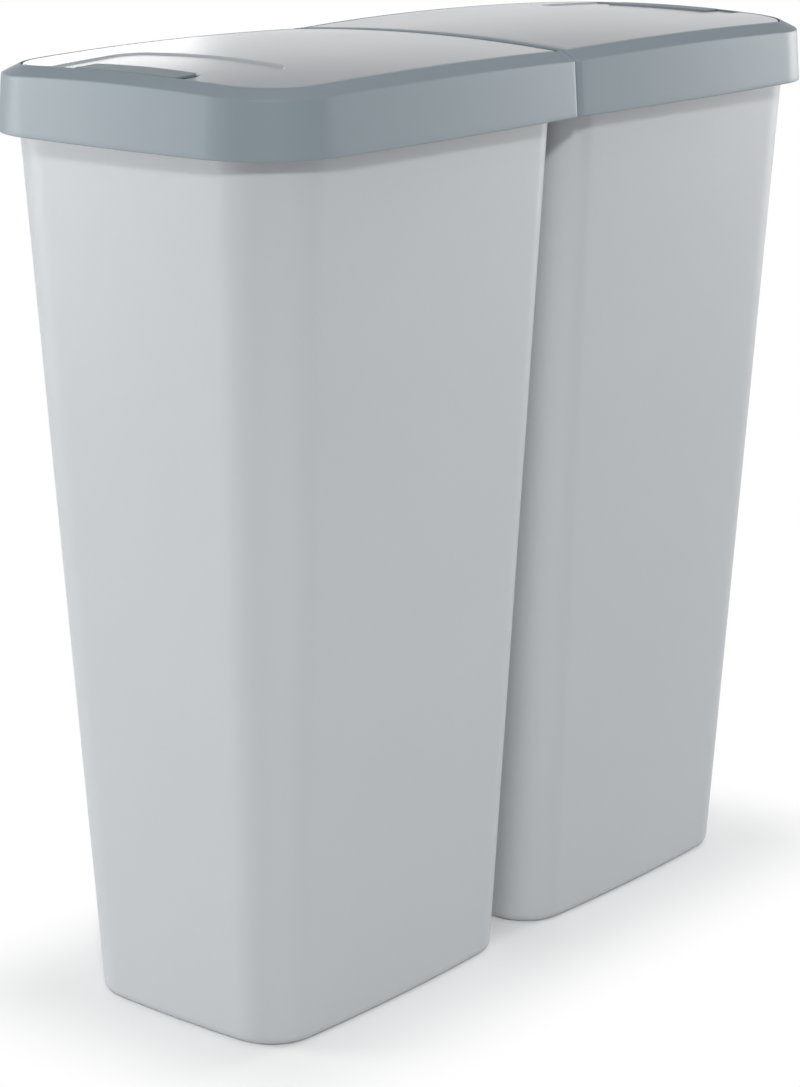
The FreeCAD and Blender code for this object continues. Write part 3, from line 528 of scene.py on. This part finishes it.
recess = Recess()


def flap_top(x, y):
    """Top of the flap: the crowned surface, sunk by a smooth step inside the recess."""
    t = np.clip(recess.depth(x, y) / RECESS_STEP + 0.5, 0, 1)
    return CREST - FLAP_DROP + crown(x, y) - RECESS_DEPTH * t * t * (3 - 2 * t)


ON_SEAM, ON_BEND, ON_SIDE, ON_CORNER = 50, 16, 62, 30


def notch_row(out, cut):
    """Row along the notch for the button, from the outer end round and back to it."""
    y = NOTCH_Y + cut
    radius = (NOTCH_Y ** 2 + BUTTON_BOW ** 2) / (2 * BUTTON_BOW)
    centre = NOTCH_X + radius
    corner = NOTCH_RADIUS + cut
    reach = radius + cut - corner
    corner_x = centre - math.sqrt(reach ** 2 - (y - corner) ** 2)
    turn = math.atan2(y - corner, corner_x - centre)
    end = lid.end_at(y, FLAP_INSET + out)
    half = [arc(centre, 0.0, radius + cut, math.pi, turn, ON_SEAM),
            arc(corner_x, y - corner, corner, turn, math.pi / 2, ON_BEND),
            line((corner_x, y), (end, y), ON_SIDE + ON_CORNER), [[end, y]]]
    return mirrored(np.concatenate(half))


def recess_row(out, depth):
    """Row at a distance inside the recess's outline."""
    corner = RECESS_RADIUS - depth
    start_x = recess.corner_x + corner * math.cos(recess.turn_side)
    start_y = recess.corner_y + corner * math.sin(recess.turn_side)
    end = lid.end_at(RECESS_END_Y, FLAP_INSET + out)
    end_y = start_y - (end - start_x) * recess.fall
    half = [arc(recess.x, 0.0, recess.radius - depth, math.pi, recess.turn_across, ON_SEAM),
            arc(recess.corner_x, recess.corner_y, corner, recess.turn_across, recess.turn_side, ON_BEND),
            line((start_x, start_y), (end, end_y), ON_SIDE + ON_CORNER), [[end, end_y]]]
    return mirrored(np.concatenate(half))


def outline_row(out):
    """Row along the flap's outline: outer corner, side, seam, side and outer corner."""
    inset, seam = FLAP_INSET + out, FLAP_SEAM + out
    bend = FLAP_SEAM_RADIUS - 0.6 * out
    radius, corner = lid.side_radius - inset, lid.corner - inset
    centre_x = seam + bend
    centre_y = lid.side_y + math.sqrt((radius - bend) ** 2 - (centre_x - lid.mid) ** 2)
    turn = math.atan2(centre_y - lid.side_y, centre_x - lid.mid)
    last = lid.corner_x + corner * math.cos(lid.turn_end), lid.corner_y + corner * math.sin(lid.turn_end)
    half = [line((seam, 0.0), (seam, centre_y), ON_SEAM),
            arc(centre_x, centre_y, bend, math.pi, turn, ON_BEND),
            arc(lid.mid, lid.side_y, radius, turn, lid.turn_side, ON_SIDE),
            arc(lid.corner_x, lid.corner_y, corner, lid.turn_side, lid.turn_end, ON_CORNER), [last]]
    return mirrored(np.concatenate(half))


def flap_plan(out, cut):
    """Plan grid of the flap: rows from the notch, over the recess's line, to the outline."""
    notch, outline = notch_row(out, cut), outline_row(out)
    steps = [0.8, 0.6, 0.42, 0.26, 0.12, 0.0, -0.12, -0.26, -0.42, -0.6, -0.8]
    first, last = recess_row(out, steps[0]), recess_row(out, steps[-1])
    rows = [notch * (1 - t) + first * t for t in np.linspace(0, 1, 13)[:-1]]
    rows += [recess_row(out, step) for step in steps]
    rows += [last * (1 - t) + outline * t for t in np.linspace(0, 1, 49)[1:] ** 1.25]
    grid = np.array(rows)
    for edge in (0, -1):
        grid[:, edge, 0] = lid.end_at(grid[:, edge, 1], FLAP_INSET + out) * np.ones(len(grid))
        corner = np.abs(grid[:, edge, 1]) > abs(outline[edge, 1])
        grid[corner, edge] = outline[edge]
    grid[-1] = outline
    return grid


def lifted(plan, height):
    """Plan grid with the heights that a function of x and y gives."""
    return np.concatenate([plan, height(plan[..., 0], plan[..., 1])[..., None]], axis=-1)


def closed_panel(levels):
    """Closed surface: the first grid is the top, the last the underside; the others give their borders."""
    n, m = levels[0].shape[:2]
    border = ([(0, j) for j in range(m)] + [(i, m - 1) for i in range(1, n)]
              + [(n - 1, j) for j in range(m - 2, -1, -1)] + [(i, 0) for i in range(n - 2, 0, -1)])
    at = np.array(border)
    size, loop = n * m, len(border)
    points = [levels[0].reshape(-1, 3)]
    points += [level[at[:, 0], at[:, 1]] for level in levels[1:-1]]
    points.append(levels[-1].reshape(-1, 3))
    faces = [(i * m + j, (i + 1) * m + j, (i + 1) * m + j + 1, i * m + j + 1)
             for i in range(n - 1) for j in range(m - 1)]
    under = size + loop * (len(levels) - 2)
    faces += [tuple(under + corner for corner in face[::-1]) for face in faces]
    rings = [[i * m + j for i, j in border]]
    rings += [list(range(size + k * loop, size + (k + 1) * loop)) for k in range(len(levels) - 2)]
    rings.append([under + i * m + j for i, j in border])
    for above, below in zip(rings[:-1], rings[1:]):
        faces += [(above[k], above[(k + 1) % loop], below[(k + 1) % loop], below[k]) for k in range(loop)]
    return outward(np.concatenate(points), faces)


def outward(points, faces):
    """The same closed surface with its faces turned outwards, by the sign of its volume."""
    corners = np.array([face[:3] for face in faces])
    rest = np.array([(face[0], face[2], face[3]) for face in faces if len(face) == 4])
    corners = np.concatenate([corners, rest]) if len(rest) else corners
    a, b, c = (points[corners[:, k]] for k in range(3))
    if np.sum(a * np.cross(b, c)) < 0:
        faces = [face[::-1] for face in faces]
    return points, faces


def flap_underside(x, y):
    """Underside of the flap, thinner by a sloped pocket over the hinge's spring."""
    pocket_x, slope_x, slope_y, thinner = 44.0, 6.0, 3.0, 1.1
    over = np.clip((pocket_x - x) / slope_x, 0, 1) * np.clip((y - TAB_INNER_Y) / slope_y, 0, 1)
    return flap_top(x, y) - FLAP_SKIN + thinner * over


def flap():
    """Crowned panel with a round edge, a turned-down flange, hinge ears and the catch.

    The edge rows are quarter rounds: moved out by radius * sin(a), dropped by radius * (1 - cos(a)).
    The notch has a smaller round and no flange.
    """
    levels = []
    for a in np.linspace(0, math.pi / 2, 7):
        side = 1 - math.sin(a)
        grid = lifted(flap_plan(FLAP_EDGE * side, NOTCH_EDGE * side), flap_top)
        drop = np.full(grid.shape[:2], FLAP_EDGE)
        drop[0] = NOTCH_EDGE
        grid[..., 2] -= drop * (1 - math.cos(a))
        levels.append(grid)

    def foot(out, cut, lift):
        grid = lifted(flap_plan(out, cut), lambda x, y: LEDGE_TOP + lift + 0 * x)
        x, y = grid[0, :, 0], grid[0, :, 1]
        grid[0, :, 2] = flap_top(x, y) - FLAP_SKIN + 0.5 * lift
        return grid

    for out, cut, lift in ((0.0, 0.0, 0.4), (0.12, 0.1, 0.12), (0.4, 0.2, 0.0),
                           (FLAP_FLANGE - 0.3, 0.25, 0.0), (FLAP_FLANGE, 0.3, 0.3)):
        levels.append(foot(out, cut, lift))
    levels.append(lifted(flap_plan(FLAP_FLANGE, 0.35), flap_underside))
    pieces = [closed_panel(levels)]
    pieces += [ear(place, thick) for place, thick in EAR_PLACES]
    root = float(flap_top(np.array(CATCH_X), np.array(CATCH_HALF))) - FLAP_SKIN / 2
    face, barb_top = CATCH_X + 2.0, CATCH_BARB + 0.7
    catch = [(CATCH_X, CATCH_BOTTOM), (face, CATCH_BOTTOM), (CATCH_TIP_X, CATCH_BARB),
             (CATCH_TIP_X, barb_top), (face, barb_top), (face, root), (CATCH_X, root)]
    pieces.append(slab([(z, x) for x, z in catch], "y", -CATCH_HALF, CATCH_HALF))
    return joined(*pieces)


def ear(place, thick):
    """Hanging ear: round below the hinge rod, square up into the flap, bored for the rod."""
    radius, bore, steps = EAR_RADIUS, EAR_BORE, 48
    side = place + math.copysign(thick / 2, place)
    top = float(flap_top(np.array(HINGE_X - radius), np.array(side))) - FLAP_SKIN / 2 - HINGE_Z
    a = np.linspace(0, 2 * math.pi, steps, endpoint=False)
    with np.errstate(divide="ignore"):
        reach = np.minimum(radius / np.abs(np.cos(a)), top / np.abs(np.sin(a)))
    reach = np.where(np.sin(a) > 0, reach, radius)
    rows = []
    for r, y in ((reach, -0.5), (reach, 0.5), (bore, 0.5), (bore, -0.5)):
        rows.append(np.column_stack([HINGE_X + r * np.cos(a), np.full(steps, place + y * thick),
                                     HINGE_Z + r * np.sin(a)]))
    return outward(np.concatenate(rows), row_quads(len(rows), steps, closed_rows=True))


def button_plan(out):
    """Plan grid of the button: columns across it, rows from its bowed edge to the outer one."""
    across, deep, bend = 61, 25, 7
    y = BUTTON_HALF - out
    radius = (BUTTON_HALF ** 2 + BUTTON_BOW ** 2) / (2 * BUTTON_BOW)
    centre = BUTTON_X + radius
    corner = BUTTON_RADIUS - 0.7 * out
    reach = radius - out - corner
    corner_x = centre - math.sqrt(reach ** 2 - (y - corner) ** 2)
    turn = math.atan2(y - corner, corner_x - centre)
    half_turn = (turn + math.pi / 2) / 2
    inner = np.concatenate([arc(centre, 0.0, radius - out, math.pi, turn, across // 2 - bend),
                            arc(corner_x, y - corner, corner, turn, half_turn, bend),
                            arc(corner_x, y - corner, corner, half_turn, math.pi / 2, 1)])
    inner = mirrored(inner)
    outer_y = np.linspace(-1, 1, len(inner)) * y
    outer = np.stack([lid.end_at(outer_y, OPENING_INSET + BUTTON_GAP + out), outer_y], 1)
    side = np.concatenate([arc(corner_x, y - corner, corner, half_turn, math.pi / 2, bend),
                           line((corner_x, y), tuple(outer[-1]), deep - bend - 1), [outer[-1]]])
    return coons(side * [1, -1], side, inner, outer)


def coons(left, right, bottom, top):
    """Grid between four plan curves: the sum of the two ruled grids less the four-corner grid."""
    def share(first, second):
        runs = []
        for curve in (first, second):
            run = np.concatenate([[0], np.cumsum(np.linalg.norm(np.diff(curve, axis=0), axis=1))])
            runs.append(run / run[-1])
        return (runs[0] + runs[1]) / 2

    u, v = share(bottom, top)[:, None, None], share(left, right)[None, :, None]
    left, right, bottom, top = left[None], right[None], bottom[:, None], top[:, None]
    corners = ((1 - u) * ((1 - v) * left[:, :1] + v * left[:, -1:])
               + u * ((1 - v) * right[:, :1] + v * right[:, -1:]))
    return (1 - u) * left + u * right + (1 - v) * bottom + v * top - corners


def button_top(x, y):
    """Top of the button: the crowned surface, a little under the frame's crest."""
    return CREST - BUTTON_DROP + crown(x, y)


def push_button():
    """Crowned plate with a round edge and a lip, over two guide posts and two sloping legs."""
    edge, lip, lip_depth, skin = 0.5, 1.4, 2.2, 1.7
    levels = []
    for a in np.linspace(0, math.pi / 2, 6):
        levels.append(lifted(button_plan(edge * (1 - math.sin(a))),
                             lambda x, y: button_top(x, y) - edge * (1 - math.cos(a))))
    for out, drop in ((0.0, lip_depth - 0.2), (0.2, lip_depth), (lip - 0.2, lip_depth),
                      (lip, lip_depth - 0.2), (lip, skin)):
        levels.append(lifted(button_plan(out), lambda x, y: button_top(x, y) - drop))
    pieces = [closed_panel(levels)]
    post_roof = float(button_top(np.array(POST_END), np.array(POST_OUTER_Y))) - INTO
    hook_low, hook_top, hook_y = POST_BOTTOM + 1.0, POST_BOTTOM + 2.6, POST_OUTER_Y + 1.0
    post = [(POST_INNER_Y, POST_BOTTOM), (POST_OUTER_Y, POST_BOTTOM), (POST_OUTER_Y, hook_low),
            (hook_y, hook_top), (POST_OUTER_Y, hook_top), (POST_OUTER_Y, post_roof),
            (POST_INNER_Y, post_roof)]
    leg_roof = float(button_top(np.array(POST_START), np.array(LEG_OUTER_Y))) - INTO
    low, high = (LEG_X + LEG_SLOPE * (z - LEG_TOP_Z) for z in (LEG_BOTTOM, leg_roof))
    leg = [(low - LEG_HALF, LEG_BOTTOM), (low + LEG_HALF, LEG_BOTTOM), (high + LEG_HALF, leg_roof),
           (high - LEG_HALF, leg_roof)]
    for sign in (1, -1):
        pieces.append(slab([(y * sign, z) for y, z in post], "x", POST_START, POST_END))
        pieces.append(slab([(z, x) for x, z in leg], "y", *sorted((LEG_INNER_Y * sign, LEG_OUTER_Y * sign))))
    return joined(*pieces)


def lid_frame():
    """The frame's mouldings together: shell, ledge and chute, ribs, rails and tab."""
    return joined(outward(*lid_shell()), outward(*ledge_and_chute()),
                  *[outward(*piece) for piece in lid_details()])


# ---------------------------------------------------------------- materials
def plastic(name, color, roughness=0.42, grain=0.02, bump=0.02, scale=900.0, spec=0.5):
    """Satin moulded plastic: faint mottling of colour and roughness over a fine moulded grain."""
    mat = bpy.data.materials.new(name)
    mat.use_nodes = True
    nodes, links = mat.node_tree.nodes, mat.node_tree.links
    bsdf = nodes["Principled BSDF"]
    coord = nodes.new("ShaderNodeTexCoord")
    broad = nodes.new("ShaderNodeTexNoise")
    broad.inputs["Scale"].default_value = 9.0
    broad.inputs["Detail"].default_value = 3.0
    links.new(coord.outputs["Object"], broad.inputs["Vector"])
    tint = nodes.new("ShaderNodeMix")
    tint.data_type = "RGBA"
    tint.inputs["A"].default_value = (*[c * (1 - grain) for c in color], 1)
    tint.inputs["B"].default_value = (*[c * (1 + grain) for c in color], 1)
    links.new(broad.outputs["Fac"], tint.inputs["Factor"])
    links.new(tint.outputs["Result"], bsdf.inputs["Base Color"])
    fine = nodes.new("ShaderNodeTexNoise")
    fine.inputs["Scale"].default_value = scale
    fine.inputs["Detail"].default_value = 2.0
    links.new(coord.outputs["Object"], fine.inputs["Vector"])
    relief = nodes.new("ShaderNodeBump")
    relief.inputs["Strength"].default_value = bump
    relief.inputs["Distance"].default_value = 0.0002
    links.new(fine.outputs["Fac"], relief.inputs["Height"])
    links.new(relief.outputs["Normal"], bsdf.inputs["Normal"])
    gloss = nodes.new("ShaderNodeMapRange")
    gloss.inputs["To Min"].default_value = roughness - 0.03
    gloss.inputs["To Max"].default_value = roughness + 0.03
    links.new(broad.outputs["Fac"], gloss.inputs["Value"])
    links.new(gloss.outputs["Result"], bsdf.inputs["Roughness"])
    bsdf.inputs["Specular IOR Level"].default_value = spec
    return mat


TUB = plastic("light grey plastic", (0.40, 0.415, 0.43), spec=0.3)
BLUE = plastic("blue grey plastic", (0.185, 0.222, 0.246), roughness=0.5, spec=0.3)
PALE = plastic("pale grey plastic", (0.325, 0.343, 0.362), roughness=0.25)
DARK = plastic("dark plastic", (0.09, 0.095, 0.10))
STEEL = plastic("steel", (0.6, 0.6, 0.6), roughness=0.25)

both("tub", *container(), TUB, "bins", "light_grey_plastic", "container")
both("frame", *lid_frame(), BLUE, "lid", "blue_grey_plastic", "lid_frame")
both("panel", *flap(), PALE, "flap", "pale_grey_plastic", "flap")
both("button_plate", *push_button(), BLUE, "button", "blue_grey_plastic", "push_button")

CAD_LOOKS = {"latch_slider": DARK, "hinge_rod": STEEL, "flap_spring": STEEL, "button_spring": STEEL,
             "joining_clip": TUB}
for name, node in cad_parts.items():
    for part, look in CAD_LOOKS.items():
        if name.endswith(part):
            node.data.materials.clear()
            node.data.materials.append(look)


# ---------------------------------------------------------------- floor
def smooth_steps(nodes, links, value, low, high):
    """Map Range node that rises smoothly from 0 to 1 between two values of a socket."""
    ramp = nodes.new("ShaderNodeMapRange")
    ramp.interpolation_type = "SMOOTHSTEP"
    ramp.inputs["From Min"].default_value = low
    ramp.inputs["From Max"].default_value = high
    links.new(value, ramp.inputs["Value"])
    return ramp.outputs["Result"]


def studio_floor():
    """Pale floor that catches the shadows and turns plain white away from the object."""
    reach, white_from, white_at = 30.0, 0.0, 0.10
    footprint = (0.228, 0.080, 0.0)
    mesh = bpy.data.meshes.new("floor")
    mesh.from_pydata([(-reach, -reach, 0), (reach, -reach, 0), (reach, reach, 0), (-reach, reach, 0)], [],
                     [(0, 1, 2, 3)])
    obj = bpy.data.objects.new("floor", mesh)
    bpy.context.scene.collection.objects.link(obj)
    mat = bpy.data.materials.new("floor")
    mat.use_nodes = True
    nodes, links = mat.node_tree.nodes, mat.node_tree.links
    bsdf = nodes["Principled BSDF"]
    bsdf.inputs["Base Color"].default_value = (0.88, 0.88, 0.88, 1)
    bsdf.inputs["Roughness"].default_value = 0.9
    bsdf.inputs["Specular IOR Level"].default_value = 0.1
    coord = nodes.new("ShaderNodeTexCoord")
    size = nodes.new("ShaderNodeVectorMath")
    size.operation = "ABSOLUTE"
    links.new(coord.outputs["Object"], size.inputs[0])
    beyond = nodes.new("ShaderNodeVectorMath")
    beyond.operation = "SUBTRACT"
    beyond.inputs[1].default_value = footprint
    links.new(size.outputs["Vector"], beyond.inputs[0])
    outside = nodes.new("ShaderNodeVectorMath")
    outside.operation = "MAXIMUM"
    outside.inputs[1].default_value = (0, 0, 0)
    links.new(beyond.outputs["Vector"], outside.inputs[0])
    length = nodes.new("ShaderNodeVectorMath")
    length.operation = "LENGTH"
    links.new(outside.outputs["Vector"], length.inputs[0])
    far = smooth_steps(nodes, links, length.outputs["Value"], white_from, white_at)
    path = nodes.new("ShaderNodeLightPath")
    seen = nodes.new("ShaderNodeMath")
    seen.operation = "MULTIPLY"
    links.new(path.outputs["Is Camera Ray"], seen.inputs[0])
    links.new(far, seen.inputs[1])
    white = nodes.new("ShaderNodeEmission")
    mix = nodes.new("ShaderNodeMixShader")
    links.new(seen.outputs["Value"], mix.inputs["Fac"])
    links.new(bsdf.outputs["BSDF"], mix.inputs[1])
    links.new(white.outputs["Emission"], mix.inputs[2])
    links.new(mix.outputs["Shader"], nodes["Material Output"].inputs["Surface"])
    mesh.materials.append(mat)


studio_floor()


# ---------------------------------------------------------------- light
def studio_world(horizon, overhead):
    """White behind the object; for its light, a dim horizon under a brighter top."""
    world = bpy.data.worlds.new("studio")
    bpy.context.scene.world = world
    world.use_nodes = True
    nodes, links = world.node_tree.nodes, world.node_tree.links
    nodes.clear()
    out = nodes.new("ShaderNodeOutputWorld")
    coord = nodes.new("ShaderNodeTexCoord")
    split = nodes.new("ShaderNodeSeparateXYZ")
    links.new(coord.outputs["Generated"], split.inputs["Vector"])
    rise = smooth_steps(nodes, links, split.outputs["Z"], 0.10, 0.55)
    level = nodes.new("ShaderNodeMapRange")
    level.inputs["To Min"].default_value = horizon
    level.inputs["To Max"].default_value = overhead
    links.new(rise, level.inputs["Value"])
    light = nodes.new("ShaderNodeBackground")
    links.new(level.outputs["Result"], light.inputs["Strength"])
    seen = nodes.new("ShaderNodeBackground")
    seen.inputs["Color"].default_value = (1, 1, 1, 1)
    light.inputs["Color"].default_value = (1, 1, 1, 1)
    mix = nodes.new("ShaderNodeMixShader")
    path = nodes.new("ShaderNodeLightPath")
    links.new(path.outputs["Is Camera Ray"], mix.inputs["Fac"])
    links.new(light.outputs["Background"], mix.inputs[1])
    links.new(seen.outputs["Background"], mix.inputs[2])
    links.new(mix.outputs["Shader"], out.inputs["Surface"])


def area_light(name, heading, distance, width, height, level):
    """Soft panel in a direction from the object's middle, aimed at it.

    level is the brightness that a white diffuse face turned to the light would show.
    """
    aim = Vector((0, 0, 0.35))
    data = bpy.data.lights.new(name, "AREA")
    data.shape = "RECTANGLE"
    data.size, data.size_y = width, height
    data.energy = level * (math.pi * distance) ** 2
    obj = bpy.data.objects.new(name, data)
    obj.location = aim + Vector(heading).normalized() * distance
    obj.rotation_mode = "QUATERNION"
    obj.rotation_quaternion = (aim - obj.location).to_track_quat("-Z", "Y")
    bpy.context.scene.collection.objects.link(obj)


studio_world(horizon=0.18, overhead=0.34)
for name, heading, distance, width, height, level in (
        ("key", (-0.64, -0.60, 0.56), 9.0, 1.0, 1.0, 0.54),
        ("low", (-0.50, -0.82, -0.32), 0.85, 1.2, 0.12, 0.11),
        ("top", (0.05, -0.10, 1.0), 1.4, 1.2, 1.2, 0.30),
        ("right", (1.0, -0.26, 0.08), 4.0, 1.6, 0.8, 0.60),
        ("left", (-0.55, 0.85, 0.06), 4.0, 1.6, 0.8, 0.82),
        ("back", (0.78, 0.62, 0.13), 4.5, 6.4, 1.2, 0.12),
        ("back_left", (0.42, 0.90, 0.13), 4.5, 3.2, 1.1, 0.08)):
    area_light(name, heading, distance, width, height, level)

# ---------------------------------------------------------------- camera
CAMERA_AT = (-1.3856, -1.1254, 0.7277)
AZIMUTH, ELEVATION = math.radians(-50.432), math.radians(15.2816)
LENS, SENSOR = 99.50, 36.0
cam_data = bpy.data.cameras.new("camera")
cam_data.lens, cam_data.sensor_width = LENS, SENSOR
camera = bpy.data.objects.new("camera", cam_data)
bpy.context.scene.collection.objects.link(camera)
back = Vector((math.sin(AZIMUTH) * math.cos(ELEVATION), -math.cos(AZIMUTH) * math.cos(ELEVATION),
               math.sin(ELEVATION)))
camera.location = CAMERA_AT
camera.rotation_mode = "QUATERNION"
camera.rotation_quaternion = (-back).to_track_quat("-Z", "Y")
bpy.context.scene.camera = camera
bpy.context.scene.view_settings.view_transform = "Standard"
